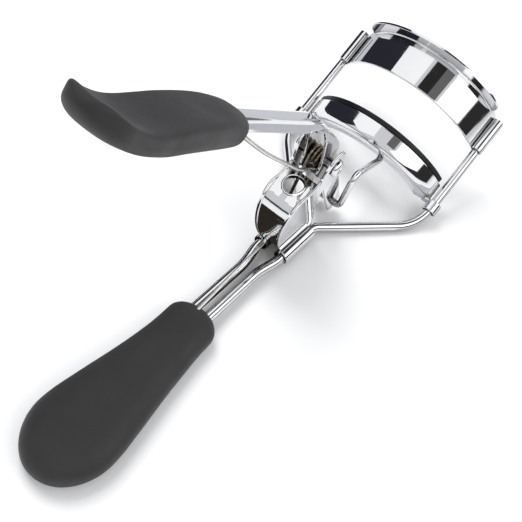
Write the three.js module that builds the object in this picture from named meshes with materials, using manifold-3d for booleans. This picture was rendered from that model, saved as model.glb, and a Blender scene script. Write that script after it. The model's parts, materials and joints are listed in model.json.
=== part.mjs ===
// Eyelash curler: a wire frame, a fixed and a sliding jaw, a spring-opened lever and two soft grips.
// Millimetres, +Z up. X is the width and Y runs from the handle towards the jaws.
// It is drawn in the handle's own frame: the frame wires lie in the plane Z = 0, and the line where
// they turn up into the guide rods is Y = 0. The whole group is then laid down on its handle and loops.
import * as THREE from "three";
import { mergeVertices, toCreasedNormals } from "three/addons/utils/BufferGeometryUtils.js";
import Module from "manifold-3d";

const wasm = await Module();
wasm.setup();

const GAP = 0.3; // between pieces that touch in the real object
const SHEET = 0.7; // pressed steel

// Frame wires and guide rods.
const WIRE_R = 1.0;
const ROD_X = 18;
const ROD_LENGTH = 29.4;
const STUD_R = 0.7; // the rods' turned-down upper ends
const STUD_FROM = 20.6;
const ROD_TILT = THREE.MathUtils.degToRad(34);
const NECK_X = 2.5; // half the wires' spacing inside the bracket
const TAIL_X = 1.5; // half their spacing where they leave the handle
const TAIL_END = -62;

// Bracket: sleeves on the wires, two fins and the bridge between them.
const SLEEVE_BACK = -30.1;
const SLEEVE_FRONT = -20.1;
const SLEEVE_GAP = 0.2;
const SLEEVE_WALL = 0.4;
const FIN_LEAN = 0.068;
const PIVOT = new THREE.Vector2(-25.5, 23.5);
const PIN_R = 1.0;
const SPRING_R = 0.33;

// Jaws, across the rods: the face arc bulges towards the lever.
const FACE_R = 18.1;
const FACE_CENTRE = -6.7;
const FACE_ANGLE = THREE.MathUtils.degToRad(67);
const UPPER_ANGLE = THREE.MathUtils.degToRad(70.3);
const UPPER_LOW = 20.9;
const UPPER_HIGH = 29.8;
const EAR_HIGH = 29.1; // top of the folds round the rods
const LIP = 3.0;
const LOWER_LOW = 5.6;
const LOWER_HIGH = 10.3;
const CHANNEL_DEPTH = 4.2;
const PAD_TOP = 11.2;

// Lever: measured along (s) and above (e) its own axis through the pivot.
const LEVER_TILT = THREE.MathUtils.degToRad(31);
const LEVER_X = 2.1;
const LEVER_TOP = 7.8;
const LEVER_UNDER = 5.9;
const LEVER_END = 55;

// Linkage joints, in the handle frame.
const LINK_LOW = new THREE.Vector2(-11.0, 2.0);
const LINK_HIGH = new THREE.Vector2(4.2, 8.4);
const LINK_BENDS = [
  [1.7, 7.2],
  [-10.2, 10.8],
];
const LINK_R = 0.75;
const LINK_X = 3.5;
const LINK_PLAY = 0.6; // the lever's hole is this much wider than the wire, all round

// Grips.
const HANDLE_NEAR = -50.5;
const HANDLE_FAR = -91.6;
const GRIP_NEAR = 43.6;
const GRIP_FAR = 77;
const REST_DROP = 2.8; // how far the handle's underside lies below the loops' underside
const REST_REACH = 80; // over this distance

const chrome = new THREE.MeshStandardMaterial({ color: 0xd2d4d8, roughness: 0.12, metalness: 1 });
const steel = new THREE.MeshStandardMaterial({ color: 0xb9a68a, roughness: 0.3, metalness: 1 });
const soft = new THREE.MeshStandardMaterial({ color: 0x2c2c2f, roughness: 0.7, metalness: 0 });
const rubber = new THREE.MeshStandardMaterial({ color: 0x161618, roughness: 0.6, metalness: 0 });

// A geometry as a manifold-3d solid, facing outwards.
function solid(geometry) {
  const bare = geometry.clone();
  bare.deleteAttribute("normal");
  bare.deleteAttribute("uv");
  const merged = mergeVertices(bare, 1e-4);
  const build = (index) =>
    new wasm.Manifold(
      new wasm.Mesh({
        numProp: 3,
        vertProperties: merged.attributes.position.array,
        triVerts: index,
      }),
    );
  const index = new Uint32Array(merged.index.array);
  const made = build(index);
  return made.volume() < 0 ? build(index.reverse()) : made;
}

// A closed bar of round section along a list of points.
class PointPath extends THREE.Curve {
  constructor(points) {
    super();
    this.points = points;
  }
  getPointAt(t) {
    return this.points[Math.round(t * (this.points.length - 1))].clone();
  }
  getTangentAt(t) {
    const k = Math.round(t * (this.points.length - 1));
    const step = (i) => {
      const j = THREE.MathUtils.clamp(i, 0, this.points.length - 2);
      return this.points[j + 1].clone().sub(this.points[j]).normalize();
    };
    return step(k - 1).add(step(k)).normalize();
  }
}

function bar(points, radius, sides = 14) {
  const ring = Array.from({ length: sides }, (_, i) => {
    const a = (2 * Math.PI * i) / sides;
    return new THREE.Vector2(radius * Math.cos(a), radius * Math.sin(a));
  });
  const extrudePath = new PointPath(points);
  const options = { steps: points.length - 1, bevelEnabled: false, extrudePath };
  return solid(new THREE.ExtrudeGeometry(new THREE.Shape(ring), options));
}

// Points along a bent wire: each corner is [x, y, z, length of the bend on each side].
function bent(corners, steps = 7) {
  const at = corners.map(([x, y, z]) => new THREE.Vector3(x, y, z));
  const points = [at[0]];
  for (let i = 1; i < at.length - 1; i += 1) {
    const reach = corners[i][3] ?? 1;
    const from = at[i].clone().add(at[i - 1].clone().sub(at[i]).setLength(reach));
    const to = at[i].clone().add(at[i + 1].clone().sub(at[i]).setLength(reach));
    points.push(...new THREE.QuadraticBezierCurve3(from, at[i], to).getPoints(steps));
  }
  points.push(at[at.length - 1]);
  return points;
}

// A flat plate with its outline in (Y, Z), from one X to another.
function sidePlate(outline, fromX, toX) {
  const shape = new THREE.Shape(outline.map(([y, z]) => new THREE.Vector2(y, z)));
  const geometry = new THREE.ExtrudeGeometry(shape, { depth: toX - fromX, bevelEnabled: false });
  const turn = new THREE.Matrix4().makeBasis(
    new THREE.Vector3(0, 1, 0),
    new THREE.Vector3(0, 0, 1),
    new THREE.Vector3(1, 0, 0),
  );
  return solid(geometry.applyMatrix4(turn).translate(fromX, 0, 0));
}

// A round bar along X through the point (Y, Z).
function crossBar(point, radius, fromX, toX, sides = 20) {
  const ends = [new THREE.Vector3(fromX, point.x, point.y), new THREE.Vector3(toX, point.x, point.y)];
  return bar(ends, radius, sides);
}

// Head pieces are drawn with X across, Y along the rods and Z towards the bulge, then tilted.
function toHead(shape) {
  return shape.rotate([THREE.MathUtils.radToDeg(ROD_TILT), 0, 0]);
}

// A slab of a ring about the face arc's centre, between two heights along the rods.
function arcSlab(inner, outer, angle, low, high, steps = 44) {
  const edge = (radius, way) =>
    Array.from({ length: steps + 1 }, (_, i) => {
      const a = angle * (way * ((2 * i) / steps - 1));
      return new THREE.Vector2(radius * Math.sin(a), FACE_CENTRE + radius * Math.cos(a));
    });
  const shape = new THREE.Shape([...edge(outer, 1), ...edge(inner, -1)]);
  const geometry = new THREE.ExtrudeGeometry(shape, { depth: high - low, bevelEnabled: false });
  return solid(geometry.rotateX(Math.PI / 2).translate(0, high, 0));
}

// The plate that closes one end of a curved channel.
function endPlate(inner, outer, from, to, low, high) {
  const corner = (radius, a) =>
    new THREE.Vector2(radius * Math.sin(a), FACE_CENTRE + radius * Math.cos(a));
  const shape = new THREE.Shape([
    corner(inner, from),
    corner(outer, from),
    corner(outer, to),
    corner(inner, to),
  ]);
  const geometry = new THREE.ExtrudeGeometry(shape, { depth: high - low, bevelEnabled: false });
  return solid(geometry.rotateX(Math.PI / 2).translate(0, high, 0));
}

// A sleeve around one guide rod, in head coordinates.
function rodBar(side, radius, low, high) {
  const x = side * ROD_X;
  return bar([new THREE.Vector3(x, low, 0), new THREE.Vector3(x, high, 0)], radius, 20);
}

// A rounded body: a sphere's rings drawn out along the length by a function of (0 to 1).
function rounded(section, rings = 30, sides = 32) {
  const geometry = new THREE.SphereGeometry(1, sides, rings);
  const at = geometry.getAttribute("position");
  const unit = new THREE.Vector3();
  for (let i = 0; i < at.count; i += 1) {
    unit.fromBufferAttribute(at, i);
    const across = Math.max(Math.hypot(unit.x, unit.z), 1e-9);
    const place = section((1 - unit.y) / 2, unit.x / across, unit.z / across);
    at.setXYZ(i, place.x, place.y, place.z);
  }
  return solid(geometry);
}

// How far a point on the unit circle moves out to turn the circle into a rounded square.
function squareness(x, z, power) {
  return Math.pow(Math.max(Math.abs(x) ** power + Math.abs(z) ** power, 0.01), -1 / power);
}

// A smooth curve through [place, value] pairs.
function profile(pairs) {
  const ease = (t) => t * t * (3 - 2 * t);
  return (at) => {
    const k = pairs.findIndex(([place]) => at <= place);
    if (k === 0) return pairs[0][1];
    if (k < 0) return pairs[pairs.length - 1][1];
    const [p0, v0] = pairs[k - 1];
    const [p1, v1] = pairs[k];
    return v0 + (v1 - v0) * ease((at - p0) / (p1 - p0));
  };
}

const group = new THREE.Group();

function add(name, shape, material) {
  const { numProp, vertProperties, triVerts } = shape.getMesh();
  const place = new Float32Array((vertProperties.length / numProp) * 3);
  for (let i = 0; i < place.length / 3; i += 1) {
    place.set(vertProperties.subarray(i * numProp, i * numProp + 3), i * 3);
  }
  const geometry = new THREE.BufferGeometry();
  geometry.setAttribute("position", new THREE.BufferAttribute(place, 3));
  geometry.setIndex(new THREE.BufferAttribute(triVerts, 1));
  const mesh = new THREE.Mesh(toCreasedNormals(geometry, 0.6), material);
  mesh.name = name;
  group.add(mesh);
}

// Frame wires.
function wirePoints(side) {
  const top = new THREE.Vector2(ROD_LENGTH, 0).rotateAround(new THREE.Vector2(), ROD_TILT);
  return bent([
    [side * TAIL_X, TAIL_END, 0],
    [side * TAIL_X, SLEEVE_BACK - 6.5, 0, 2],
    [side * NECK_X, SLEEVE_BACK - 1.5, 0, 1.2],
    [side * NECK_X, SLEEVE_FRONT + 1.8, 0, 1.4],
    [side * ROD_X, 0, 0, 5.2],
    [side * ROD_X, top.x, top.y],
  ]);
}
function frameWire(side) {
  const shoulder = rodBar(side, WIRE_R + 0.5, STUD_FROM, ROD_LENGTH + 1).subtract(
    rodBar(side, STUD_R, STUD_FROM - 1, ROD_LENGTH + 2),
  );
  return bar(wirePoints(side), WIRE_R).subtract(toHead(shoulder));
}
add("frame_wire_left", frameWire(-1), chrome);
add("frame_wire_right", frameWire(1), chrome);

// Bracket.
const finOutline = [
  [-29.8, 1.4],
  [-31.6, 3.4],
  [-34.4, 7.6],
  [-36.1, 11.6],
  [-36.6, 15],
  [-36.2, 18],
  [-35.2, 19.4],
  [-33.6, 20.2],
  [-28.6, 20.7],
  [-28.2, 24.2],
  [-27.6, 25.9],
  [-26.3, 26.8],
  [-24.8, 26.8],
  [-23.5, 25.9],
  [-22.8, 24.4],
  [-22.9, 22.4],
  [-24.6, 19.2],
  [-25.4, 17],
  [-25.2, 14.6],
  [-23.6, 10.4],
  [-21.3, 5.4],
  [-20.4, 1.4],
];

function fin(side) {
  const flat = sidePlate(finOutline, 0, SHEET);
  const leaning = flat.warp((v) => {
    v[0] = side * (v[0] + NECK_X - SHEET - GAP + FIN_LEAN * v[2]);
  });
  const plate = side < 0 ? facingOut(leaning) : leaning;
  const x = side * NECK_X;
  const ends = [new THREE.Vector3(x, SLEEVE_BACK, 0), new THREE.Vector3(x, SLEEVE_FRONT, 0)];
  const bore = [new THREE.Vector3(x, SLEEVE_BACK - 1, 0), new THREE.Vector3(x, SLEEVE_FRONT + 1, 0)];
  return plate
    .add(bar(ends, WIRE_R + SLEEVE_GAP + SLEEVE_WALL, 20))
    .subtract(bar(bore, WIRE_R + SLEEVE_GAP, 20));
}

// The same surface with every triangle turned round.
function facingOut(shape) {
  const { numProp, vertProperties, triVerts } = shape.getMesh();
  return new wasm.Manifold(
    new wasm.Mesh({ numProp, vertProperties, triVerts: triVerts.slice().reverse() }),
  );
}

const bridge = sidePlate(
  [
    [-32.6, 6.0],
    [-34.6, 10.0],
    [-35.7, 14.2],
    [-35.4, 17.0],
    [-34.4, 18.5],
    [-32.8, 19.3],
    [-28.4, 19.8],
    [-28.4, 20.5],
    [-33.1, 20.0],
    [-35.0, 19.0],
    [-36.1, 17.2],
    [-36.4, 14.2],
    [-35.3, 9.8],
    [-33.2, 5.7],
  ],
  -1,
  1,
).warp((v) => {
  v[0] *= NECK_X - GAP - SHEET / 2 + FIN_LEAN * v[2];
});
const slot = bar([new THREE.Vector3(0, -31.4, 14), new THREE.Vector3(0, -31.4, 26)], 1.6, 24);
add(
  "bracket",
  fin(-1)
    .add(fin(1))
    .add(bridge)
    .subtract(slot.translate([0, 0.5, 0]).add(slot.translate([0, -0.6, 0])))
    .subtract(crossBar(PIVOT, PIN_R + 0.15, -6, 6)),
  chrome,
);

// Pivot rivet: a pin with a low head at each end.
add(
  "pivot_rivet",
  crossBar(PIVOT, PIN_R, -4.9, 4.9)
    .add(crossBar(PIVOT, 1.7, 4.45, 5.0))
    .add(crossBar(PIVOT, 1.7, -5.0, -4.45)),
  chrome,
);

// Upper jaw: a curved band with a turned-out lip, folded round the rods at both ends.
const rodPair = (radius, low, high) => rodBar(-1, radius, low, high).add(rodBar(1, radius, low, high));
add(
  "upper_jaw",
  toHead(
    arcSlab(FACE_R - SHEET, FACE_R, UPPER_ANGLE, UPPER_LOW, UPPER_HIGH)
      .add(arcSlab(FACE_R - SHEET, FACE_R + LIP, FACE_ANGLE * 0.93, UPPER_HIGH - SHEET, UPPER_HIGH))
      .add(rodPair(WIRE_R + 0.3, UPPER_LOW, EAR_HIGH))
      .subtract(rodPair(STUD_R + 0.2, UPPER_LOW - 1, UPPER_HIGH + 1)),
  ),
  chrome,
);

// Lower jaw: a curved channel that slides on the rods and carries the pad.
const channelBack = FACE_R - CHANNEL_DEPTH;
add(
  "lower_jaw",
  toHead(
    arcSlab(FACE_R - 0.6, FACE_R, FACE_ANGLE, LOWER_LOW, LOWER_HIGH)
      .add(arcSlab(channelBack, FACE_R, FACE_ANGLE, LOWER_LOW, LOWER_LOW + 0.6))
      .add(arcSlab(channelBack, channelBack + 0.6, FACE_ANGLE, LOWER_LOW, LOWER_HIGH - 1))
      .add(endPlate(channelBack, FACE_R, FACE_ANGLE, FACE_ANGLE - 0.035, LOWER_LOW, LOWER_HIGH - 1))
      .add(endPlate(channelBack, FACE_R, 0.035 - FACE_ANGLE, -FACE_ANGLE, LOWER_LOW, LOWER_HIGH - 1))
      .add(rodPair(WIRE_R + GAP + 0.4, 3.9, LOWER_LOW + 0.6))
      .subtract(rodPair(WIRE_R + GAP, 1, LOWER_HIGH + 2)),
  ),
  chrome,
);
const padOut = FACE_R - 0.6 - GAP;
const padIn = channelBack + 0.6 + GAP;
const padAngle = FACE_ANGLE - 0.06;
const padLow = LOWER_LOW + 0.6 + GAP;
add(
  "lash_pad",
  toHead(
    arcSlab(padIn, padOut, padAngle, padLow, PAD_TOP - 0.4).add(
      arcSlab(padIn + 0.4, padOut - 0.4, padAngle, padLow, PAD_TOP),
    ),
  ),
  rubber,
);

// Lug behind the lower jaw that takes the link's upper end.
const turned = new THREE.Vector2();
const highAt = LINK_HIGH.clone().rotateAround(turned, -ROD_TILT);
const jawInside = FACE_CENTRE + channelBack - GAP;
add(
  "link_lug",
  toHead(
    sidePlate(
      [
        [highAt.x + 1.1, jawInside],
        [highAt.x + 1.5, highAt.y + 0.6],
        [highAt.x + 1.5, highAt.y - 0.8],
        [highAt.x + 0.7, highAt.y - 1.6],
        [highAt.x - 0.7, highAt.y - 1.6],
        [highAt.x - 1.5, highAt.y - 0.8],
        [highAt.x - 1.7, highAt.y + 0.7],
        [highAt.x - 1.7, jawInside],
      ],
      -0.8,
      0.8,
    ).subtract(crossBar(highAt, LINK_R + 0.2, -2, 2)),
  ),
  chrome,
);

// Link wire: hooked through the lug above and through the lever's arm below.
add(
  "link_wire",
  bar(
    bent([
      [-1.8, LINK_HIGH.x, LINK_HIGH.y],
      [LINK_X, LINK_HIGH.x, LINK_HIGH.y, 1.1],
      [LINK_X, ...LINK_BENDS[0], 1.2],
      [LINK_X, ...LINK_BENDS[1], 2.6],
      [LINK_X, LINK_LOW.x, LINK_LOW.y, 1.3],
      [-LEVER_X - 1.1, LINK_LOW.x, LINK_LOW.y],
    ]),
    LINK_R,
    12,
  ),
  chrome,
);

// Lever pieces are drawn along their own axis with (Y, Z) = (-s, e), then turned about the pivot.
function toLever(shape) {
  return shape
    .rotate([-THREE.MathUtils.radToDeg(LEVER_TILT), 0, 0])
    .translate([0, PIVOT.x, PIVOT.y]);
}
const lowAt = LINK_LOW.clone().sub(PIVOT).rotateAround(turned, LEVER_TILT);
const arm = lowAt.clone().normalize();
const armSide = (along, across) => [arm.x * along - arm.y * across, arm.y * along + arm.x * across];
const armLength = lowAt.length();
const cheek = [
  [-LEVER_END, LEVER_UNDER],
  [-12.4, LEVER_UNDER],
  [-9, 4.6],
  [-5.6, 2.2],
  [-2.7, -0.4],
  [-1.8, -2.0],
  [-0.2, -2.9],
  armSide(3, -2.7),
  armSide(armLength - 2, -2.1),
  armSide(armLength + 0.8, -2.1),
  armSide(armLength + 2.1, -0.9),
  armSide(armLength + 2.1, 0.9),
  armSide(armLength + 0.8, 2.1),
  armSide(armLength - 2, 2.1),
  armSide(4, 2.6),
  [0.4, 3.6],
  [-4, 5.2],
  [-13, LEVER_TOP],
  [-LEVER_END, LEVER_TOP],
];
const armWeb = [
  armSide(3.5, 2.0),
  armSide(armLength - 4, 1.5),
  armSide(armLength - 4, 2.1),
  armSide(3.5, 2.65),
];
const topWeb = [
  [-LEVER_END, LEVER_TOP - 0.6],
  [-13, LEVER_TOP - 0.6],
  [-13, LEVER_TOP],
  [-LEVER_END, LEVER_TOP],
];
add(
  "lever",
  toLever(
    sidePlate(cheek, LEVER_X - 0.6, LEVER_X)
      .add(sidePlate(cheek, -LEVER_X, 0.6 - LEVER_X))
      .add(sidePlate(topWeb, -LEVER_X, LEVER_X))
      .add(sidePlate(armWeb, -LEVER_X, LEVER_X))
      .subtract(crossBar(turned, PIN_R + 0.15, -6, 6))
      .subtract(crossBar(lowAt, LINK_R + LINK_PLAY, -6, 6)),
  ),
  chrome,
);

// Torsion spring: a coil on the pin, one leg down to the handle and one along the lever.
const coilR = PIN_R + GAP + SPRING_R;
const coil = Array.from({ length: 53 }, (_, i) => {
  const t = i / 52;
  const a = 2.98 - t * 17.43;
  return new THREE.Vector3(-1.08 + 2.16 * t, coilR * Math.cos(a), coilR * Math.sin(a));
});
const springPoints = [
  new THREE.Vector3(-0.3, -31.5, -22.1),
  new THREE.Vector3(-0.5, -24.6, -21.8),
  new THREE.Vector3(-0.8, -15.9, -21.1),
  new THREE.Vector3(-0.95, -8.6, -20.3),
  new THREE.Vector3(-1.0, -6.6, -19.5),
  new THREE.Vector3(-1.05, -4.5, -17.3),
  ...coil,
  new THREE.Vector3(0.9, -7.9, 2.4),
  new THREE.Vector3(0.7, -15.5, 9.2),
  new THREE.Vector3(0.5, -23.8, 16.8),
  new THREE.Vector3(0.3, -31.5, 24.2),
  new THREE.Vector3(0.2, -33.9, 27.3),
  new THREE.Vector3(0.1, -36.1, 29.2),
];
add(
  "torsion_spring",
  bar(springPoints, SPRING_R, 8).translate([0, PIVOT.x, PIVOT.y]),
  steel,
);

// Handle grip over the frame wires.
const handleWidth = profile([
  [0, 4.7],
  [0.08, 5.0],
  [0.2, 5.05],
  [0.4, 5.95],
  [0.74, 7.85],
  [1, 7.85],
]);
const handleHeight = profile([
  [0, 2.9],
  [0.1, 3.2],
  [0.6, 4.0],
  [1, 3.9],
]);
const blunt = (t, end) => Math.min(1, Math.sqrt(Math.max(0, 1 - (1 - t / end) ** 2)));
const handle = rounded((t, ux, uz) => {
  const near = t < 0.09 ? blunt(t, 0.09) : 1;
  const far = t > 0.76 ? blunt(1 - t, 0.24) : 1;
  const farLow = t > 0.88 ? blunt(1 - t, 0.12) : 1;
  const width = handleWidth(t) * near * far;
  const height = handleHeight(t) * near * farLow * 0.96;
  const spread = squareness(ux, uz, 2.4);
  return new THREE.Vector3(
    ux * spread * width,
    THREE.MathUtils.lerp(HANDLE_NEAR, HANDLE_FAR, t),
    uz * spread * height - THREE.MathUtils.lerp(0.5, 1.4, t),
  );
});
const restTilt = Math.atan2(REST_DROP, REST_REACH);
const belowRest = solid(
  new THREE.BoxGeometry(60, 120, 20).translate(0, -60, -10).rotateX(restTilt).translate(0, 0, -WIRE_R),
);
const wireBores = [-1, 1].map((side) => bar(wirePoints(side).slice(0, 2), WIRE_R + GAP));
const legBore = bar(springPoints.slice(0, 3), SPRING_R + GAP).translate([0, PIVOT.x, PIVOT.y]);
add(
  "handle_grip",
  handle.subtract(belowRest).subtract(wireBores[0]).subtract(wireBores[1]).subtract(legBore),
  soft,
);

// Thumb grip over the lever's end.
const gripTop = profile([
  [0, 8.6],
  [0.14, 9.0],
  [0.3, 8.9],
  [0.65, 7.7],
  [0.75, 7.4],
  [0.91, 8.5],
  [1, 9.3],
]);
const gripUnder = profile([
  [0, 4.6],
  [0.12, 4.1],
  [0.45, 3.7],
  [0.6, 3.35],
  [0.75, 3.8],
  [0.91, 5.3],
  [1, 6.6],
]);
const gripWidth = profile([
  [0, 3.1],
  [0.18, 3.4],
  [0.5, 3.9],
  [0.8, 3.9],
  [1, 3.6],
]);
const grip = rounded((t, ux, uz) => {
  const near = t < 0.1 ? blunt(t, 0.1) : 1;
  const far = t > 0.86 ? blunt(1 - t, 0.14) : 1;
  const farHeight = t > 0.94 ? blunt(1 - t, 0.06) : 1;
  const middle = (gripTop(t) + gripUnder(t)) / 2;
  const half = ((gripTop(t) - gripUnder(t)) / 2) * near * farHeight;
  const rim = THREE.MathUtils.clamp(t * 3, 0, 1);
  const spread = squareness(ux, uz, uz > 0 ? THREE.MathUtils.lerp(2.6, 5, rim) : 2.5);
  return new THREE.Vector3(
    ux * spread * gripWidth(t) * near * far,
    -THREE.MathUtils.lerp(GRIP_NEAR, GRIP_FAR, t),
    middle + uz * spread * half,
  );
});
const tongue = sidePlate(
  [
    [-LEVER_END - GAP, LEVER_UNDER - 0.25],
    [-GRIP_NEAR + 4, LEVER_UNDER - 0.25],
    [-GRIP_NEAR + 4, LEVER_TOP + 0.25],
    [-LEVER_END - GAP, LEVER_TOP + 0.25],
  ],
  -LEVER_X - GAP,
  LEVER_X + GAP,
);
add("thumb_grip", toLever(grip.subtract(tongue)), soft);

// Lay it down: the handle's flat and the two loops rest on Z = 0, centred over the origin.
group.rotation.x = -restTilt;
group.updateMatrixWorld(true);
const box = new THREE.Box3().setFromObject(group, true);
group.position.set(0, -(box.min.y + box.max.y) / 2, -box.min.z);
group.updateMatrixWorld(true);

export default group;
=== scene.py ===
import json
import math

import bmesh
import bpy
from mathutils import Matrix, Vector


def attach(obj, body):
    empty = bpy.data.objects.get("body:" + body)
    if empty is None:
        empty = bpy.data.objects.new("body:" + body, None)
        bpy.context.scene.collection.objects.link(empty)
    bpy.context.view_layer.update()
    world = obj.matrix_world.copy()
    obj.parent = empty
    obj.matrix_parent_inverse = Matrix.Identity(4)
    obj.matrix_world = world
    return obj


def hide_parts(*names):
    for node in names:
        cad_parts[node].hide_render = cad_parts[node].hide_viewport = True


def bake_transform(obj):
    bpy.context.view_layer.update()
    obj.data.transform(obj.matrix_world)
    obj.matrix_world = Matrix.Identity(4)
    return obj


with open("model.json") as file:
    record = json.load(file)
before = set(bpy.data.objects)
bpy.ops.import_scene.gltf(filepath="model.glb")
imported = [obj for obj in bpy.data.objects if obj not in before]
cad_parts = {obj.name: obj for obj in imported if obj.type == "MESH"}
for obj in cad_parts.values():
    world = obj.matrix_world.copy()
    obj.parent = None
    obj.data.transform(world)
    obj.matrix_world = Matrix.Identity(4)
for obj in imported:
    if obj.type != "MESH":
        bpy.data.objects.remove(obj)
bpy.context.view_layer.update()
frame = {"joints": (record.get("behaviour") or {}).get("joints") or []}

# ---------------------------------------------------------------- dimensions, millimetres
MM = 0.001
REST_TILT = math.atan2(2.8, 80)
PIVOT = (-25.5, 23.5)

# frame wires and guide rods
WIRE_R = 1.0
ROD_X = 18.0
ROD_LENGTH = 29.4
ROD_TILT = math.radians(34)
STUD_R = 0.7
STUD_FROM = 20.6
NECK_X = 2.5
TAIL_X = 1.5
TAIL_END = -62

# bracket
SLEEVE_BACK = -30.1
SLEEVE_FRONT = -20.1
SLEEVE_OUTER = 1.56
SLEEVE_INNER = 1.12
FIN_FACES = (1.5, 2.2)
FIN_LEAN = 0.068
BRIDGE_X = 1.85
BRIDGE_SHEET = 0.7
SLOT_AT = 3.35
SLOT_SCALE = 3.2
SLOT_ACROSS = 1.75
SLOT_ALONG = 2.2

# jaws, with heights along the guide rods
FACE_R = 18.1
FACE_CENTRE = -6.7
FACE_ANGLE = math.radians(67)
UPPER_LOW = 20.9
UPPER_EAR = 29.1
UPPER_RISE = 0.85
UPPER_LIP = 2.85
LIP_SHEET = 0.6
FOLD_R = 1.1
LOWER_FLOOR = 5.6
LOWER_FRONT = 10.15
LOWER_BACK = 9.3
LOWER_DEEP = 4.2
LOWER_SHEET = 0.6
LUG_HALF = 0.8

# link and lever
LINK_R = 0.75
LINK_X = 3.5
LINK_LOW = (-11.0, 2.0)
LINK_HIGH = (4.2, 8.4)
LEVER_TILT = math.radians(31)
LEVER_X = 2.1
CHEEK_FACES = (1.52, 2.08)
CHANNEL_LOW = 5.9
CHANNEL_HIGH = 7.8
CHANNEL_SHEET = 0.6
CHANNEL_FROM = 11.2
CHANNEL_TO = 51.5

# torsion spring
SPRING_R = 0.33
COIL_R = 1.63
COIL_HALF = 1.08
COIL_FROM = 2.98
COIL_TURN = 17.43
COIL_STEPS = 132

# grips
HANDLE_NEAR = -50.8
HANDLE_LONG = 40.8
GRIP_NEAR = 43.6
GRIP_LONG = 33.4

# ---------------------------------------------------------------- frames
squeeze = next(j for j in frame["joints"] if j["name"] == "lever_squeeze")
TURN = Matrix.Rotation(-REST_TILT, 4, "X")
ORIGIN = Vector(squeeze["pos_m"]) - TURN @ Vector((0, *PIVOT)) * MM
LAID = Matrix.Translation(ORIGIN) @ TURN @ Matrix.Scale(MM, 4)
HEAD = LAID @ Matrix.Rotation(ROD_TILT, 4, "X")
COIL = LAID @ Matrix.Translation((0, *PIVOT))
LEVER = COIL @ Matrix.Rotation(-LEVER_TILT, 4, "X")


def turned(point, angle):
    """A (Y, Z) point seen from a frame that is turned by the angle."""
    c, s = math.cos(angle), math.sin(angle)
    return Vector((point[0] * c - point[1] * s, point[0] * s + point[1] * c))


# ---------------------------------------------------------------- mesh helpers
class Shape:
    """Points and faces gathered from several parts of one piece."""

    def __init__(self):
        self.verts, self.faces = [], []

    def quad(self, corners):
        """One four-sided face."""
        base = len(self.verts)
        self.verts += corners
        self.faces.append(tuple(range(base, base + 4)))
        return self

    def grid(self, rings, closed=False):
        """Skin between rings of points; ends are capped unless the rings close on themselves."""
        base, size = len(self.verts), len(rings[0])
        for ring in rings:
            self.verts += [tuple(p) for p in ring]
        count = len(rings) if closed else len(rings) - 1
        for i in range(count):
            a, b = base + i * size, base + ((i + 1) % len(rings)) * size
            for k in range(size):
                n = (k + 1) % size
                self.faces.append((a + k, a + n, b + n, b + k))
        if not closed:
            self.faces.append(tuple(base + k for k in reversed(range(size))))
            self.faces.append(tuple(base + (len(rings) - 1) * size + k for k in range(size)))
        return self


def piece(name, shape, place, body, nodes, material):
    """A mesh object from a shape in the given frame, riding on a body and standing for CAD nodes."""
    mesh = bpy.data.meshes.new(name)
    mesh.from_pydata([place @ Vector(v) for v in shape.verts], [], shape.faces)
    mesh.validate()
    made = bpy.data.objects.new(name, mesh)
    bpy.context.scene.collection.objects.link(made)
    made.data.materials.append(material)
    for face in mesh.polygons:
        face.use_smooth = True
    work = bmesh.new()
    work.from_mesh(mesh)
    bmesh.ops.recalc_face_normals(work, faces=work.faces)
    for edge in work.edges:
        edge.smooth = len(edge.link_faces) != 2 or edge.calc_face_angle() < math.radians(38)
    work.to_mesh(mesh)
    work.free()
    if body:
        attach(made, body)
    if nodes:
        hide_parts(*nodes)
    return made


def spokes(count):
    """Evenly spaced angles round a circle."""
    return [2 * math.pi * k / count for k in range(count)]


def rounding(before, corner, after, steps):
    """Points of a curve that leaves the corner out."""
    shares = [k / steps for k in range(steps + 1)]
    return [before * (1 - t) ** 2 + corner * (2 * t * (1 - t)) + after * t * t for t in shares]


def bent(corners, steps):
    """Points along a wire: each corner is (point, length of the bend on each side)."""
    at = [Vector(c[0]) for c in corners]
    points = [at[0]]
    for i in range(1, len(at) - 1):
        reach = corners[i][1]
        start = at[i] + (at[i - 1] - at[i]).normalized() * reach
        end = at[i] + (at[i + 1] - at[i]).normalized() * reach
        points += rounding(start, at[i], end, steps)
    points.append(at[-1])
    return points


def dense(points, step):
    """The same path with no gap longer than a step."""
    out = [points[0]]
    for a, b in zip(points, points[1:]):
        n = max(1, math.ceil((b - a).length / step))
        out += [a.lerp(b, (k + 1) / n) for k in range(n)]
    return out


def catmull_rom(p0, p1, p2, p3, t):
    """A point of a smooth curve, at a share of the way from p1 to p2."""
    b = (p2 - p0) * t
    c = (p0 * 2 - p1 * 5 + p2 * 4 - p3) * t * t
    d = (p1 * 3 - p0 - p2 * 3 + p3) * t**3
    return (p1 * 2 + b + c + d) / 2


def curve_through(points, steps):
    """An open smooth curve through the points."""
    p = [Vector(v) for v in points]
    p = [p[0] * 2 - p[1], *p, p[-1] * 2 - p[-2]]
    out = []
    for i in range(1, len(p) - 2):
        out += [catmull_rom(*p[i - 1 : i + 3], k / steps) for k in range(steps)]
    return out + [p[-2]]


def smooth_outline(points, steps):
    """A closed smooth outline through the points."""
    n = len(points)
    out = []
    for i in range(n):
        around = [Vector(points[(i + k) % n]) for k in (-1, 0, 1, 2)]
        out += [catmull_rom(*around, k / steps) for k in range(steps)]
    return out


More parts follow.
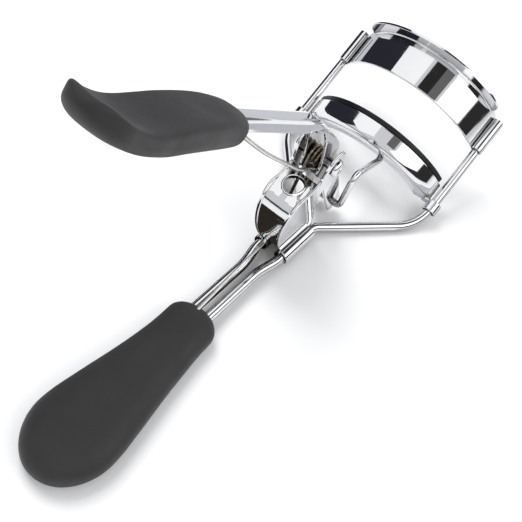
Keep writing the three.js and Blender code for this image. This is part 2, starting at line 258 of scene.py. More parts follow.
def rounded_loop(corners, radius, steps=4, limit=0.46):
    """A closed outline with its corners rounded; a corner may carry its own radius."""
    out = []
    n = len(corners)
    for i in range(n):
        here = Vector(corners[i][:2])
        r = corners[i][2] if len(corners[i]) > 2 else radius
        before, after = Vector(corners[i - 1][:2]) - here, Vector(corners[(i + 1) % n][:2]) - here
        u, w = before.normalized(), after.normalized()
        angle = math.acos(max(-0.9999, min(0.9999, u.dot(w))))
        reach = min(r / math.tan(angle / 2), before.length * limit, after.length * limit)
        a, b = here + u * reach, here + w * reach
        out.append(a + u * reach * 0.07)
        out += rounding(a, here, b, steps)
        out.append(b + w * reach * 0.07)
    return out


def tube_rings(points, radius, chamfer, sides=32):
    """Rings of a round bar along the points, with rounded ends."""
    side = (points[1] - points[0]).orthogonal().normalized()
    rings = []
    last = len(points) - 1
    for i, at in enumerate(points):
        tangent = (points[min(i + 1, last)] - points[max(i - 1, 0)]).normalized()
        side = (side - tangent * side.dot(tangent)).normalized()
        up = tangent.cross(side)
        way = 1 if i == 0 else -1
        turns = range(90, -1, -30) if i == 0 else range(0, 91, 30) if i == last else [0]
        for turn in turns:
            a = math.radians(turn)
            shift = chamfer * (1 - math.sin(a)) if i in (0, last) else 0
            r = radius - chamfer * (1 - math.cos(a))
            centre = at + tangent * shift * way
            rings.append([centre + (side * math.cos(s) + up * math.sin(s)) * r for s in spokes(sides)])
    return rings


def sweep_arc(shape, loop, low, high, steps=110):
    """Sweeps a (radius, height) loop about the jaws' centre, in head coordinates."""
    rings = []
    for i in range(steps + 1):
        a = low + (high - low) * i / steps
        rings.append([(r * math.sin(a), h, FACE_CENTRE + r * math.cos(a)) for r, h in loop])
    return shape.grid(rings)


def plate(shape, outline, from_x, to_x, edge, lean=0.0):
    """A flat plate with rounded edges and its outline in (Y, Z); it may lean outwards with Z."""
    flat = [Vector(p) for p in outline]
    n = len(flat)
    inward = []
    for i in range(n):
        along = (flat[(i + 1) % n] - flat[i - 1]).normalized()
        inward.append(Vector((-along.y, along.x)))
    area = sum(flat[i].x * flat[(i + 1) % n].y - flat[(i + 1) % n].x * flat[i].y for i in range(n))
    if area < 0:
        inward = [-w for w in inward]
    turns = (100, 90, 68, 45, 22, 0)
    rings = []
    for x, way, order in ((from_x, 1, turns), (to_x, -1, turns[::-1])):
        for turn in order:
            a = math.radians(min(turn, 90))
            inset = edge * (1 - math.cos(a)) + (0.05 if turn > 90 else 0)
            depth = edge * (1 - math.sin(a)) * way
            points = [p + w * inset for p, w in zip(flat, inward)]
            rings.append([(x + depth + lean * p.y, *p) for p in points])
    return shape.grid(rings)


def lathe_x(shape, point, outline, sides=48):
    """A turned shape about the X line through the point: its outline is in (x, radius)."""
    rings = []
    for x, r in outline:
        rings.append([(x, point[0] + r * math.cos(a), point[1] + r * math.sin(a)) for a in spokes(sides)])
    return shape.grid(rings)


def collar(shape, x, low, high, inner, outer, edge, sides=40):
    """A ring around a guide rod, in head coordinates."""
    loop = rounded_loop([(inner, low), (outer, low), (outer, high), (inner, high)], edge)
    rings = [[(x + r * math.sin(a), h, r * math.cos(a)) for r, h in loop] for a in spokes(sides)]
    return shape.grid(rings, closed=True)


def rounded_body(section, rings=110, sides=80):
    """A closed body: section(t, across, up) places a point of the unit circle at a share of the length."""
    rows = []
    for i in range(1, rings):
        t = (1 - math.cos(math.pi * i / rings)) / 2
        rows.append([section(t, math.cos(a), math.sin(a)) for a in spokes(sides)])
    return Shape().grid(rows)


def ease(t):
    """Smooth step from 0 to 1."""
    t = min(max(t, 0.0), 1.0)
    return t * t * (3 - 2 * t)


def blunt(t, end):
    """Rises like a quarter circle from 0 to 1 over the first stretch."""
    return math.sqrt(max(0.0, 1 - (1 - t / end) ** 2)) if t < end else 1.0


def spread(x, z, power):
    """How far a direction reaches on a squarish unit curve."""
    return max(abs(x) ** power + abs(z) ** power, 0.01) ** (-1 / power)


def stepped(pairs):
    """A curve through (place, value) pairs that is level at each of them."""

    def at(x):
        if x <= pairs[0][0]:
            return pairs[0][1]
        for (p0, v0), (p1, v1) in zip(pairs, pairs[1:]):
            if x <= p1:
                return v0 + (v1 - v0) * ease((x - p0) / (p1 - p0))
        return pairs[-1][1]

    return at


def through(pairs):
    """A rounder curve through (place, value) pairs: cubic with matched slopes."""
    xs, vs = [p[0] for p in pairs], [p[1] for p in pairs]
    n = len(pairs)
    slopes = []
    for i in range(n):
        a, b = max(i - 1, 0), min(i + 1, n - 1)
        slopes.append((vs[b] - vs[a]) / (xs[b] - xs[a]))

    def at(x):
        x = min(max(x, xs[0]), xs[-1])
        i = next(k for k in range(n - 1) if x <= xs[k + 1])
        w = xs[i + 1] - xs[i]
        t = (x - xs[i]) / w
        return (
            vs[i] * (2 * t**3 - 3 * t**2 + 1)
            + slopes[i] * w * (t**3 - 2 * t**2 + t)
            + vs[i + 1] * (3 * t**2 - 2 * t**3)
            + slopes[i + 1] * w * (t**3 - t**2)
        )

    return at


# ---------------------------------------------------------------- materials
def grey(value):
    return (value, value, value, 1)


def nodes_of(name):
    """A new material with its node tree and its main shader."""
    material = bpy.data.materials.new(name)
    material.use_nodes = True
    tree = material.node_tree
    return material, tree, tree.nodes["Principled BSDF"]


def noise(tree, scale, detail, stretch=(1, 1, 1)):
    """Noise fixed to the object; returns its value socket."""
    place = tree.nodes.new("ShaderNodeTexCoord")
    mapping = tree.nodes.new("ShaderNodeMapping")
    mapping.inputs["Scale"].default_value = stretch
    made = tree.nodes.new("ShaderNodeTexNoise")
    made.inputs["Scale"].default_value = scale
    made.inputs["Detail"].default_value = detail
    tree.links.new(place.outputs["Object"], mapping.inputs["Vector"])
    tree.links.new(mapping.outputs["Vector"], made.inputs["Vector"])
    return made.outputs["Fac"]


def ramp(tree, source, stops):
    """Colours by the source's value, from (position, colour) stops."""
    made = tree.nodes.new("ShaderNodeValToRGB")
    made.color_ramp.elements[0].position, made.color_ramp.elements[0].color = stops[0]
    made.color_ramp.elements[1].position, made.color_ramp.elements[1].color = stops[-1]
    for position, colour in stops[1:-1]:
        made.color_ramp.elements.new(position).color = colour
    tree.links.new(source, made.inputs["Fac"])
    return made.outputs["Color"]


def mix(tree, factor, first, second, how="MIX"):
    """Mixes two colours; the factor is a number or a socket."""
    made = tree.nodes.new("ShaderNodeMix")
    made.data_type = "RGBA"
    made.blend_type = how
    if isinstance(factor, float):
        made.inputs["Factor"].default_value = factor
    else:
        tree.links.new(factor, made.inputs["Factor"])
    tree.links.new(first, made.inputs["A"])
    tree.links.new(second, made.inputs["B"])
    return made.outputs["Result"]


def bumps(tree, shader, layers):
    """Chains bump nodes: each layer is (height socket, strength, distance in metres)."""
    last = None
    for height, strength, distance in layers:
        bump = tree.nodes.new("ShaderNodeBump")
        bump.inputs["Strength"].default_value = strength
        bump.inputs["Distance"].default_value = distance
        tree.links.new(height, bump.inputs["Height"])
        if last:
            tree.links.new(last.outputs["Normal"], bump.inputs["Normal"])
        last = bump
    tree.links.new(last.outputs["Normal"], shader.inputs["Normal"])


def chrome(name, wave, grain_stretch):
    """Polished plate: faint waviness, hairline scratches, a few dull smudges, and painted shade that darkens
    recesses and gaps between parts by ambient occlusion.
    """
    material, tree, shader = nodes_of(name)
    shader.inputs["Metallic"].default_value = 1.0
    tint = (0.78, 0.785, 0.8)
    low = tuple(c * 0.95 for c in tint)
    colour = ramp(tree, noise(tree, 90, 4), [(0.35, (*low, 1)), (0.6, (*tint, 1))])
    # Painted shade: ambient occlusion turns the base colour dark brown in recesses, creases and between
    # parts.
    recess_shade = tree.nodes.new("ShaderNodeAmbientOcclusion")
    recess_shade.inputs["Distance"].default_value = 0.007
    recess_shade.samples = 8
    recess_shade_tones = [(0.12, (0.12, 0.1, 0.085, 1)), (0.5, (0.72, 0.71, 0.7, 1)), (0.72, grey(1.0))]
    depth = ramp(tree, recess_shade.outputs["AO"], recess_shade_tones)
    tree.links.new(mix(tree, 1.0, colour, depth, "MULTIPLY"), shader.inputs["Base Color"])
    rough = ramp(tree, noise(tree, 210, 5), [(0.42, grey(0.03)), (0.72, grey(0.1))])
    tree.links.new(rough, shader.inputs["Roughness"])
    swell, grain = noise(tree, 160, 1), noise(tree, 900, 2, grain_stretch)
    bumps(tree, shader, [(swell, 0.25, wave), (grain, 0.03, 0.00001)])
    return material


def spring_wire(name, centre):
    """Spring steel with painted shade: the coil is painted dark brown for the dark inside of the bracket
    that it reflects, while the legs are drawn bright.
    """
    material, tree, shader = nodes_of(name)
    shader.inputs["Metallic"].default_value = 1.0
    tone = noise(tree, 700, 4)
    place = tree.nodes.new("ShaderNodeTexCoord")
    away = tree.nodes.new("ShaderNodeVectorMath")
    away.operation = "DISTANCE"
    away.inputs[1].default_value = centre
    tree.links.new(place.outputs["Object"], away.inputs[0])
    # Painted shade: near the coil's centre the colour is dark brown, fading to bright steel along the legs.
    coil_shade_mask = tree.nodes.new("ShaderNodeMapRange")
    coil_shade_mask.inputs["From Min"].default_value = 0.002
    coil_shade_mask.inputs["From Max"].default_value = 0.0055
    tree.links.new(away.outputs["Value"], coil_shade_mask.inputs["Value"])
    dark = ramp(tree, tone, [(0.3, (0.1, 0.07, 0.045, 1)), (0.7, (0.36, 0.3, 0.24, 1))])
    bright = ramp(tree, tone, [(0.3, (0.66, 0.64, 0.6, 1)), (0.7, (0.84, 0.83, 0.8, 1))])
    tree.links.new(mix(tree, coil_shade_mask.outputs["Result"], dark, bright), shader.inputs["Base Color"])
    rough = ramp(tree, tone, [(0.3, grey(0.22)), (0.7, grey(0.1))])
    tree.links.new(rough, shader.inputs["Roughness"])
    bumps(tree, shader, [(noise(tree, 2500, 2), 0.12, 0.00002)])
    return material


def soft_touch(name):
    """Matt moulded coating with a fine grain and faint clouding."""
    material, tree, shader = nodes_of(name)
    base = 0.021
    low = (base * 0.86, base * 0.86, base * 0.9, 1)
    high = (base * 1.12, base * 1.12, base * 1.18, 1)
    colour = ramp(tree, noise(tree, 55, 4), [(0.35, low), (0.68, high)])
    tree.links.new(colour, shader.inputs["Base Color"])
    rough = ramp(tree, noise(tree, 260, 5), [(0.35, grey(0.52)), (0.7, grey(0.66))])
    tree.links.new(rough, shader.inputs["Roughness"])
    shader.inputs["Specular IOR Level"].default_value = 0.32
    shader.inputs["Sheen Weight"].default_value = 0.05
    shader.inputs["Sheen Roughness"].default_value = 0.5
    grain, swell = noise(tree, 5200, 2), noise(tree, 300, 2)
    bumps(tree, shader, [(swell, 0.12, 0.00008), (grain, 0.35, 0.00002)])
    return material


def silicone(name):
    """Black rubbery pad with a slight sheen."""
    material, tree, shader = nodes_of(name)
    shader.inputs["Specular IOR Level"].default_value = 0.25
    cloud = noise(tree, 240, 3)
    colour = ramp(tree, cloud, [(0.35, (0.006, 0.006, 0.0065, 1)), (0.7, (0.012, 0.012, 0.013, 1))])
    tree.links.new(colour, shader.inputs["Base Color"])
    rough = ramp(tree, cloud, [(0.3, grey(0.34)), (0.7, grey(0.5))])
    tree.links.new(rough, shader.inputs["Roughness"])
    bumps(tree, shader, [(noise(tree, 3000, 2), 0.2, 0.00002)])
    return material


def plain_floor(name):
    """Matt, nearly white paper."""
    material, tree, shader = nodes_of(name)
    colour = ramp(tree, noise(tree, 6, 3), [(0.3, (0.9, 0.9, 0.905, 1)), (0.7, (0.92, 0.92, 0.92, 1))])
    tree.links.new(colour, shader.inputs["Base Color"])
    shader.inputs["Roughness"].default_value = 0.85
    shader.inputs["Specular IOR Level"].default_value = 0.1
    return material


def glow(name, level, tint):
    """A surface that only gives light."""
    material, tree, shader = nodes_of(name)
    tree.nodes.remove(shader)
    light = tree.nodes.new("ShaderNodeEmission")
    light.inputs["Color"].default_value = (*tint, 1)
    light.inputs["Strength"].default_value = level
    tree.links.new(light.outputs["Emission"], tree.nodes["Material Output"].inputs["Surface"])
    return material


WIRE = chrome("chrome wire", 0.00001, (1, 0.04, 1))
SHEET = chrome("chrome sheet", 0.00003, (1, 1, 0.15))
SPRING = spring_wire("spring steel", COIL @ Vector((0, 0, 0)))
SOFT = soft_touch("soft-touch black")
PAD = silicone("black silicone")


# ---------------------------------------------------------------- frame wires
def frame_wire(side):
    """One bent wire from the handle to its guide rod, whose upper end is turned down to a stud."""
    rod_top = (ROD_LENGTH * math.cos(ROD_TILT), ROD_LENGTH * math.sin(ROD_TILT))
    corners = [
        ((side * TAIL_X, TAIL_END, 0), 0),
        ((side * TAIL_X, SLEEVE_BACK - 6.5, 0), 2),
        ((side * NECK_X, SLEEVE_BACK - 1.5, 0), 1.2),
        ((side * NECK_X, SLEEVE_FRONT + 1.8, 0), 1.4),
        ((side * ROD_X, 0, 0), 5.2),
        ((side * ROD_X, *rod_top), 0),
    ]
    path = bent(corners, 22)
    along = (path[-1] - path[-2]).normalized()
    shoulder = path[-1] - along * (ROD_LENGTH - STUD_FROM)
    full = dense(path[:-1] + [shoulder], 1.2)
    stud = dense([shoulder - along * 0.5, path[-1]], 1.2)
    wire = Shape().grid(tube_rings(full, WIRE_R, 0.22))
    return wire.grid(tube_rings(stud, STUD_R, 0.2))


for side, name in ((-1, "frame_wire_left"), (1, "frame_wire_right")):
    piece(f"{name}_look", frame_wire(side), LAID, "frame", [name], WIRE)

# ---------------------------------------------------------------- bracket and rivet
FIN = [
    (-29.8, 1.2), (-31.6, 3.4), (-34.4, 7.6), (-36.1, 11.6), (-36.6, 15), (-36.2, 18),
    (-35.2, 19.4), (-33.6, 20.2), (-31.2, 20.3), (-29.3, 20.7), (-28.4, 22), (-28.2, 24.2),
    (-27.6, 25.9), (-26.3, 26.8), (-24.8, 26.8), (-23.5, 25.9), (-22.8, 24.4), (-22.9, 22.4),
    (-24.6, 19.2), (-25.4, 17), (-25.2, 14.6), (-23.6, 10.4), (-21.3, 5.4), (-20.4, 1.2),
]
BRIDGE = curve_through(
    [
        (-28.4, 20.5), (-31, 20.35), (-33.3, 20), (-35.2, 18.9),
        (-36.2, 17), (-36.4, 14.2), (-35.4, 9.8), (-33.2, 5.7),
    ],
    10,
)
BRIDGE_LENGTH = sum((q - p).length for p, q in zip(BRIDGE, BRIDGE[1:]))


def sleeve(shape, side):
    """The sheet rolled round a frame wire, with its seam under the wire."""

    def rolled(y, radius):
        turns = [math.radians(a) for a in range(-208, 119, 6)]
        return [(side * (NECK_X + radius * math.sin(a)), y, radius * math.cos(a)) for a in turns]

    rim = 0.12
    rings = []
    for y, less in (
        (SLEEVE_BACK, rim),
        (SLEEVE_BACK + rim, 0),
        (SLEEVE_FRONT - rim, 0),
        (SLEEVE_FRONT, rim),
    ):
        rings.append(rolled(y, SLEEVE_OUTER - less) + rolled(y, SLEEVE_INNER + less)[::-1])
    shape.grid(rings)


def bridge_point(x, run, drop):
    """A point of the bridge: x as a share of its half width, run along its profile, drop below its face."""
    left = min(max(run, 0.0), BRIDGE_LENGTH)
    for p, q in zip(BRIDGE, BRIDGE[1:]):
        step = (q - p).length
        if left <= step + 1e-6:
            break
        left -= step
    along = (q - p).normalized()
    at = p + along * left + Vector((-along.y, along.x)) * drop
    return (x * (BRIDGE_X + FIN_LEAN * at.y), at.x, at.y)


def slot_loop(grow):
    """The oval slot's edge on the flat sheet, as (share of the half width, run)."""
    out = []
    for a in spokes(96):
        x = math.cos(a) * (SLOT_ACROSS + grow) / SLOT_SCALE
        out.append((x, SLOT_AT + math.sin(a) * (SLOT_ALONG + grow)))
    return out


def edge_loop(share, inset):
    """The sheet's outer edge in the same flat coordinates, drawn in at the sides and at the ends."""
    out = []
    for a in spokes(96):
        c, s = math.cos(a), math.sin(a)
        m = max(abs(c), abs(s))
        out.append((c / m * share, BRIDGE_LENGTH / 2 + s / m * (BRIDGE_LENGTH / 2 - inset)))
    return out


def on_bridge(loop, drop):
    """A flat loop laid on the bridge's curve."""
    return [bridge_point(x, run, drop) for x, run in loop]


def between(share, drop):
    """A loop part of the way from the slot's rim to the sheet's edge."""
    rim, edge = slot_loop(0.4), edge_loop(0.95, 0.15)
    return on_bridge([(a + (c - a) * share, b + (d - b) * share) for (a, b), (c, d) in zip(rim, edge)], drop)


def bridge(shape):
    """The bent sheet between the fins: over its edge, across its face, through the slot and back."""
    loops = [on_bridge(edge_loop(1, 0), 0.5), on_bridge(edge_loop(1, 0), 0.2)]
    loops.append(on_bridge(edge_loop(1 - 0.06 / SLOT_SCALE, 0.06), 0.05))
    loops += [between(k / 14, 0) for k in range(14, -1, -1)]
    raised_rim = (
        (0.3, -0.1), (0.2, -0.18), (0.08, -0.17), (0.0, -0.08),
        (-0.02, 0.1), (0, 0.5), (0.05, 0.64),
    )
    for grow, drop in raised_rim:
        loops.append(on_bridge(slot_loop(grow), drop))
    loops += [between(k / 14, BRIDGE_SHEET) for k in range(15)]
    shape.grid(loops, closed=True)


def bracket():
    """Two fins, each with its sleeve, and the bridge."""
    shape = Shape()
    for side in (-1, 1):
        faces = sorted(side * x for x in FIN_FACES)
        plate(shape, smooth_outline(FIN, 7), *faces, edge=0.27, lean=side * FIN_LEAN)
        sleeve(shape, side)
    bridge(shape)
    return shape


def pivot_rivet():
    """The pin with a dished, domed head at each end."""
    head = [
        (3.75, 1.0), (3.8, 1.55), (3.95, 1.68), (4.2, 1.66), (4.5, 1.48),
        (4.72, 1.15), (4.78, 0.85), (4.7, 0.6), (4.58, 0.35), (4.54, 0.1),
    ]
    outline = [(-x, r) for x, r in reversed(head)] + [(-3.6, 1.0), (3.6, 1.0)] + head
    return lathe_x(Shape(), PIVOT, outline)


piece("bracket_look", bracket(), LAID, "frame", ["bracket"], SHEET)
piece("pivot_rivet_look", pivot_rivet(), LAID, "frame", ["pivot_rivet"], SHEET)


# ---------------------------------------------------------------- upper jaw
def upper_path():
    """Middle line of the band in (X, Z), with its outward normal, turn and sheet thickness."""
    half = []
    centre = Vector((0, FACE_CENTRE))
    rod = Vector((ROD_X, 0))
    toward = math.atan2(rod.x - centre.x, rod.y - centre.y)
    face = FACE_R - 0.35
    reach = (rod - centre).length - FOLD_R
    leave = math.radians(55)
    for i in range(71):
        angle = toward * i / 70
        away = ease((angle - leave) / (toward - leave))
        n = Vector((math.sin(angle), math.cos(angle)))
        half.append((centre + n * (face + (reach - face) * away), n, angle, 0.7 - 0.3 * away))
    for i in range(1, 37):
        a = toward + math.pi - math.radians(305) * i / 36
        n = Vector((math.sin(a), math.cos(a)))
        half.append((rod + n * FOLD_R, -n, 2.0, 0.4))
    other = [(Vector((-p.x, p.y)), Vector((-n.x, n.y)), -a, t) for p, n, a, t in half[1:]]
    return other[::-1] + half


def upper_section(angle, thick):
    """The band's section in (outwards, height): it has a lip over the face and none at the folds."""
    lip = 0.02 + UPPER_LIP * math.sqrt(1 - min(abs(angle) / 1.03, 1.0) ** 9)
    flared = lip > 0.5
    t = thick / 2
    edge = 0.16 if thick > 0.5 else 0.12
    top = UPPER_EAR + UPPER_RISE * ease((1.24 - abs(angle)) / 0.12)
    return rounded_loop(
        [
            (-t, UPPER_LOW, edge),
            (t, UPPER_LOW, edge),
            (t, top - LIP_SHEET - 0.02, 0.3 if flared else 0.05),
            (t + lip, top - LIP_SHEET, 0.12 if flared else 0.02),
            (t + lip, top, 0.42 if flared else 0.02),
            (-t, top, edge),
        ],
        edge,
    )


def upper_jaw():
    """The lipped band, folded round the rods at its ends."""
    rings = []
    for at, out, angle, thick in upper_path():
        rings.append([(at.x + out.x * o, h, at.y + out.y * o) for o, h in upper_section(angle, thick)])
    return Shape().grid(rings)


piece("upper_jaw_look", upper_jaw(), HEAD, "frame", ["upper_jaw"], SHEET)

# ---------------------------------------------------------------- lower jaw, pad and lug
LOWER_IN = FACE_R - LOWER_DEEP


def lower_jaw():
    """The curved channel with an end wall, an eyelet and a small tab at each rod."""
    shape = Shape()
    channel = rounded_loop(
        [
            (FACE_R, LOWER_FLOOR, 2.3),
            (FACE_R, LOWER_FRONT, 0.2),
            (FACE_R - LOWER_SHEET, LOWER_FRONT, 0.2),
            (FACE_R - LOWER_SHEET, LOWER_FLOOR + LOWER_SHEET, 1.6),
            (LOWER_IN + LOWER_SHEET, LOWER_FLOOR + LOWER_SHEET, 0.15),
            (LOWER_IN + LOWER_SHEET, LOWER_BACK, 0.2),
            (LOWER_IN, LOWER_BACK, 0.2),
            (LOWER_IN, LOWER_FLOOR, 0.45),
        ],
        0.2,
    )
    sweep_arc(shape, channel, -FACE_ANGLE, FACE_ANGLE)
    back, front = LOWER_IN + 0.02, FACE_R - 0.02
    wall = rounded_loop([(back, 5.62), (front, 5.62), (front, 9.6), (back, 9.3)], 0.3)
    for side in (-1, 1):
        ends = sorted((side * (FACE_ANGLE + 0.001), side * (FACE_ANGLE - 0.034)))
        sweep_arc(shape, wall, *ends, steps=2)
        collar(shape, side * ROD_X, 3.9, 6.3, 1.25, 1.68, 0.16)
        corners = [(14.8, -1.6), (16.9, -1.3), (16.9, 1.0), (15.6, 1.0)]
        tab = rounded_loop([(side * x, z) for x, z in corners], 0.3)
        shape.grid([[(x, h, z) for x, z in tab] for h in (5.66, 6.14)])
    return shape


def lash_pad():
    """The pad: a foot in the channel and a rounded top that rests over its front wall."""
    loop = rounded_loop(
        [
            (14.9, 6.5), (17.3, 6.5), (17.3, 10.22, 0.1), (18.0, 10.3, 0.15),
            (18.05, 11.4, 0.55), (14.6, 11.4, 0.7), (14.9, 9.6, 0.3),
        ],
        0.3,
        steps=6,
    )
    end = FACE_ANGLE - 0.06
    return sweep_arc(Shape(), loop, -end, end)


def link_lug():
    """A rounded tab from the channel's back wall down to the link's hook."""
    hook = turned(LINK_HIGH, -ROD_TILT)
    wall = FACE_CENTRE + LOWER_IN - hook.y
    offsets = [
        (1.1, wall), (1.5, 0.6), (1.5, -0.8), (0.8, -1.5), (0, -1.65),
        (-0.8, -1.5), (-1.5, -0.8), (-1.7, 0.7), (-1.7, wall),
    ]
    outline = [(hook.x + y, hook.y + z) for y, z in offsets]
    return plate(Shape(), smooth_outline(outline, 5), -LUG_HALF, LUG_HALF, edge=0.25)


piece("lower_jaw_look", lower_jaw(), HEAD, "lower_jaw", ["lower_jaw"], SHEET)
piece("lash_pad_look", lash_pad(), HEAD, "lower_jaw", ["lash_pad"], PAD)
piece("link_lug_look", link_lug(), HEAD, "lower_jaw", ["link_lug"], SHEET)


# ---------------------------------------------------------------- link wire
def link_wire():
    """The wire from the lug, round the lever's side and into the arm's hole."""
    corners = [
        ((-1.8, *LINK_HIGH), 0),
        ((LINK_X, *LINK_HIGH), 1.1),
        ((LINK_X, 1.7, 7.2), 1.2),
        ((LINK_X, -10.2, 10.8), 2.6),
        ((LINK_X, *LINK_LOW), 1.3),
        ((-LEVER_X - 1.1, *LINK_LOW), 0),
    ]
    return Shape().grid(tube_rings(dense(bent(corners, 16), 0.8), LINK_R, 0.3))


piece("link_wire_look", link_wire(), LAID, "link", ["link_wire"], WIRE)

# ---------------------------------------------------------------- lever
HOLE = turned(Vector(LINK_LOW) - Vector(PIVOT), LEVER_TILT)
ARM = HOLE.normalized()


def arm_side(along, across):
    """A point of the lever's arm, which runs from the pivot to the link's hole."""
    return (ARM.x * along - ARM.y * across, ARM.y * along + ARM.x * across)


def channel_at(s):
    """The channel's section in (X, up) at a distance behind the pivot."""
    w = LEVER_X - 0.3 * ease((s - 14) / 31)
    top = CHANNEL_HIGH - 1.1 * (1 - ease((s - 9.5) / 6))
    inside, roof = w - CHANNEL_SHEET, top - CHANNEL_SHEET
    return rounded_loop(
        [
            (-w, CHANNEL_LOW, 0.15),
            (-w, top, 1.25),
            (w, top, 1.25),
            (w, CHANNEL_LOW, 0.15),
            (inside, CHANNEL_LOW, 0.15),
            (inside, roof, 0.7),
            (-inside, roof, 0.7),
            (-inside, CHANNEL_LOW, 0.15),
        ],
        0.15,
        steps=7,
        limit=0.7,
    )


def lever():
    """Two cheeks over the pivot and the arm, the folded channel behind them and the arm's web."""
    shape = Shape()
    end = HOLE.length
    cheek = [
        (-15.5, 6.0), (-12.4, 5.9), (-9, 4.6), (-5.6, 2.2), (-2.7, -0.4), (-1.8, -2.0), (-0.6, -3.2),
        arm_side(4.6, -2.5), arm_side(end - 2, -2.1), arm_side(end + 0.6, -2.0),
        arm_side(end + 1.7, -1.3), arm_side(end + 2.1, 0), arm_side(end + 1.7, 1.3),
        arm_side(end + 0.6, 2.0), arm_side(end - 2, 2.1), arm_side(4, 2.6),
        (1.6, 1.9), (0.2, 3.7), (-4, 5.1), (-9, 6.2), (-15.5, 6.7),
    ]
    for side in (-1, 1):
        plate(shape, smooth_outline(cheek, 5), *sorted(side * x for x in CHEEK_FACES), edge=0.14)
    places = [CHANNEL_FROM + (CHANNEL_TO - CHANNEL_FROM) * k / 39 for k in range(40)]
    shape.grid([[(x, -s, up) for x, up in channel_at(s)] for s in places])
    web = [arm_side(3.5, 2.0), arm_side(end - 4, 1.5), arm_side(end - 4, 2.1), arm_side(3.5, 2.6)]
    return plate(shape, rounded_loop(web, 0.2), -1.6, 1.6, edge=0.1)


piece("lever_look", lever(), LEVER, "lever", ["lever"], SHEET)


# ---------------------------------------------------------------- torsion spring
def torsion_spring():
    """A coil on the pivot, a leg down into the handle and a long one up under the lever."""
    turns = []
    for i in range(COIL_STEPS + 1):
        t = i / COIL_STEPS
        a = COIL_FROM - t * COIL_TURN
        turns.append(Vector((-COIL_HALF + 2 * COIL_HALF * t, COIL_R * math.cos(a), COIL_R * math.sin(a))))
    under_lever = [
        (0.9, -7.9, 2.4), (0.75, -15.5, 8.9), (0.5, -23.8, 16.4),
        (0.3, -31.5, 24.2), (0.2, -34, 27.2), (0.1, -36.1, 29.2),
    ]
    to_handle = [
        (-0.3, -31.5, -22.1), (-0.5, -24.6, -21.8), (-0.8, -15.9, -21.1), (-0.95, -8.6, -20.3),
        (-1.0, -6.3, -19.3), (-1.05, -4.5, -17.3), (-1.07, -3.0, -8.2),
    ]
    upper_leg = curve_through([turns[-1], *under_lever], 10)
    lower_leg = curve_through([*to_handle, turns[0]], 8)
    path = lower_leg[:-1] + turns + upper_leg[1:]
    return Shape().grid(tube_rings(path, SPRING_R, 0.1, sides=16))


spring_look = piece(
    "torsion_spring_look", torsion_spring(), COIL, None, ["torsion_spring"], SPRING
)
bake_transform(spring_look)

# ---------------------------------------------------------------- grips
handle_width = through(
    [(0, 4.7), (0.08, 5.0), (0.2, 5.12), (0.4, 5.95), (0.6, 7.15), (0.74, 7.85), (1, 7.85)]
)
handle_height = through([(0, 2.9), (0.1, 3.2), (0.35, 3.65), (0.6, 4.0), (1, 3.9)])
rim_height = through(
    [
        (43.6, 8.2), (46, 8.55), (50, 8.7), (53, 8.6), (59, 8.2), (63, 7.75),
        (66, 7.4), (68.6, 7.35), (71.6, 7.8), (74.1, 8.5), (77, 9.4),
    ]
)
under_height = through(
    [
        (43.6, 4.5), (46, 4.0), (50, 3.7), (55, 3.6), (59, 3.5), (63, 3.3),
        (65.8, 3.45), (68.7, 3.8), (72, 4.55), (74.1, 5.2), (77, 6.4),
    ]
)
grip_width = through([(43.6, 3.1), (47, 3.4), (50, 3.55), (56, 3.8), (61, 3.9), (70, 3.9), (76.6, 3.65)])
grip_dish = stepped([(46, 0), (56, 0.35), (64, 0.6), (72, 0.65), (76.6, 0.2)])


def handle_point(t, across, up):
    """The handle's skin; its underside is pressed flat where it lies on the floor."""
    near, far, far_height = blunt(t, 0.09), blunt(1 - t, 0.24), blunt(1 - t, 0.12)
    k = spread(across, up, 2.4)
    x = across * k * handle_width(t) * near * far
    y = HANDLE_NEAR - HANDLE_LONG * t
    z = up * k * handle_height(t) * near * far_height * 0.96 - (0.5 + 0.9 * t)
    floor_height = y * math.tan(REST_TILT) - WIRE_R / math.cos(REST_TILT)
    lift = z - floor_height
    z = floor_height + (lift + math.sqrt(lift * lift + 0.05)) / 2 - 0.015 * ease(-lift)
    return (x + 0.3 * ease(t * 3), y, z)


def grip_point(t, across, up):
    """The thumb grip's skin, with a dished top between two rims."""
    s = GRIP_NEAR + GRIP_LONG * t
    near, far, far_height = blunt(t, 0.12), blunt(1 - t, 0.14), blunt(1 - t, 0.06)
    top, under = rim_height(s), under_height(s)
    power = 2.4 + 3.2 * ease((s - 45) / 10) if up > 0 else 2.4
    k = spread(across, up, power)
    x = across * k
    z = (top + under) / 2 + up * k * ((top - under) / 2 * near * far_height)
    if up > 0:
        z -= grip_dish(s) * max(0.0, 1 - x * x) * ease(up * k * 1.3) * near * far_height
    return (x * grip_width(s) * near * far, -s, z)


handle = rounded_body(handle_point)
thumb = rounded_body(grip_point, 120, 96)
piece("handle_grip_look", handle, LAID, "frame", ["handle_grip"], SOFT)
piece("thumb_grip_look", thumb, LEVER, "lever", ["thumb_grip"], SOFT)

# ---------------------------------------------------------------- camera
camera = bpy.data.objects.new("camera", bpy.data.cameras.new("camera"))
bpy.context.scene.collection.objects.link(camera)
camera.location = ORIGIN + Vector((33.7122, -120.1495, 118.8024)) * MM
camera.rotation_euler = [math.radians(a) for a in (36.3732, -12.7452, 37.7584)]
camera.data.lens = 53.436
camera.data.clip_start = 0.01
bpy.context.scene.camera = camera

# ---------------------------------------------------------------- floor and soft light, metres
STILL = Matrix.Identity(4)
floor_shape = Shape().quad([(-4, -4, 0), (4, -4, 0), (4, 4, 0), (-4, 4, 0)])
floor = piece("floor", floor_shape, STILL, None, None, plain_floor("floor"))

world = bpy.data.worlds.new("studio")
bpy.context.scene.world = world
world.use_nodes = True
world.node_tree.nodes["Background"].inputs["Color"].default_value = (0.97, 0.98, 1.0, 1)
world.node_tree.nodes["Background"].inputs["Strength"].default_value = 0.75


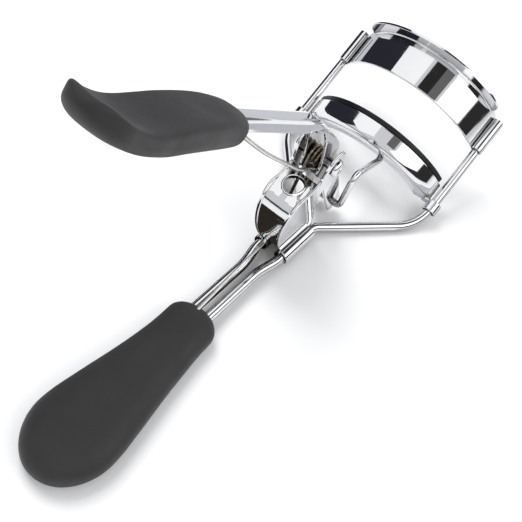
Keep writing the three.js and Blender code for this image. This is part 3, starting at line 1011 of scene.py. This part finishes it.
def lamp(name, location, size, power):
    """A square soft light that faces the object and has no reflection of its own."""
    light = bpy.data.lights.new(name, "AREA")
    light.shape = "SQUARE"
    light.size = size
    light.energy = power
    made = bpy.data.objects.new(name, light)
    bpy.context.scene.collection.objects.link(made)
    made.location = location
    made.rotation_mode = "QUATERNION"
    made.rotation_quaternion = (-Vector(location)).to_track_quat("-Z", "Y")
    made.visible_glossy = False


lamp("key", (-0.35, 0.1, 0.6), 0.35, 2.6)
lamp("fill", (0.5, -0.1, 0.45), 0.5, 1.0)


# ---------------------------------------------------------------- what the polished metal reflects, metres
def card(name, corners, level, tint=(1, 1, 1)):
    """A flat studio card seen only in reflections."""
    made = piece(name, Shape().quad(corners), STILL, None, None, glow(name, level, tint))
    for ray in ("camera", "diffuse", "shadow", "transmission", "volume_scatter"):
        setattr(made, f"visible_{ray}", False)


def upright(name, corner, other, low, high, level, tint=(1, 1, 1)):
    """An upright card between two floor points, from one height to another."""
    (ax, ay), (bx, by) = corner, other
    card(name, [(ax, ay, low), (bx, by, low), (bx, by, high), (ax, ay, high)], level, tint)


def level_card(name, from_x, to_x, from_y, to_y, height, level, tint=(1, 1, 1)):
    """A level card, on the floor or overhead."""
    corners = [(from_x, from_y), (to_x, from_y), (to_x, to_y), (from_x, to_y)]
    card(name, [(x, y, height) for x, y in corners], level, tint)


def dark_ring(radius, count, gap):
    """Low dark cards all round, open where the metal reflects a bright far side."""
    posts = [(radius * math.cos(a), radius * math.sin(a)) for a in spokes(count)]
    for k in range(count):
        if k not in gap:
            upright(f"ring_{k}", posts[k], posts[(k + 1) % count], 0.03, 0.16, 0.06)


ON_FLOOR = 0.0003
OVERHEAD = 0.5
COOL = (0.97, 0.99, 1.05)
upright("left_wall", (-0.15, -0.1), (-0.15, 0.35), 0.0, 0.17, 0.03, (0.85, 0.9, 1.2))
upright("right_wall", (0.3, -0.4), (0.3, 0.6), 0.02, 0.13, 0.03)
dark_ring(0.9, 24, range(6, 9))
upright("far_grey", (-0.62, 0.5), (-0.02, 0.72), 0.0, 0.16, 0.66, (0.97, 0.99, 1.04))
upright("far_dark", (0.1, 0.66), (0.55, 0.5), 0.0, 0.16, 0.05)
# Painted shadow: a dark warm card on the floor under the neck, seen only in reflections, stands for the
# shaded floor there.
level_card("under_neck_shadow", -0.022, 0.0035, -0.045, 0.008, ON_FLOOR, 0.03, (1, 0.86, 0.7))
level_card("behind_left", -0.16, -0.01, 0.08, 0.23, ON_FLOOR, 0.68, COOL)
level_card("beside_lever", 0.012, 0.055, 0.028, 0.11, ON_FLOOR, 0.6, COOL)
level_card("behind_far", -0.12, 0.06, 0.25, 0.45, ON_FLOOR, 0.2)
level_card("top_dark", -0.02, 0.12, -0.06, 0.5, OVERHEAD, 0.025)
level_card("top_grey", 0.12, 0.24, -0.16, 0.5, OVERHEAD, 0.15)
card("right_white", [(0.25, -0.4, 0.45), (0.35, -0.4, 0.16), (0.35, 0.6, 0.16), (0.25, 0.6, 0.45)], 1.8)
card("left_white", [(-0.2, -0.3, 0.22), (-0.2, 0.4, 0.22), (-0.06, 0.4, 0.5), (-0.06, -0.3, 0.5)], 1.15)

bpy.context.scene.view_settings.view_transform = "Standard"
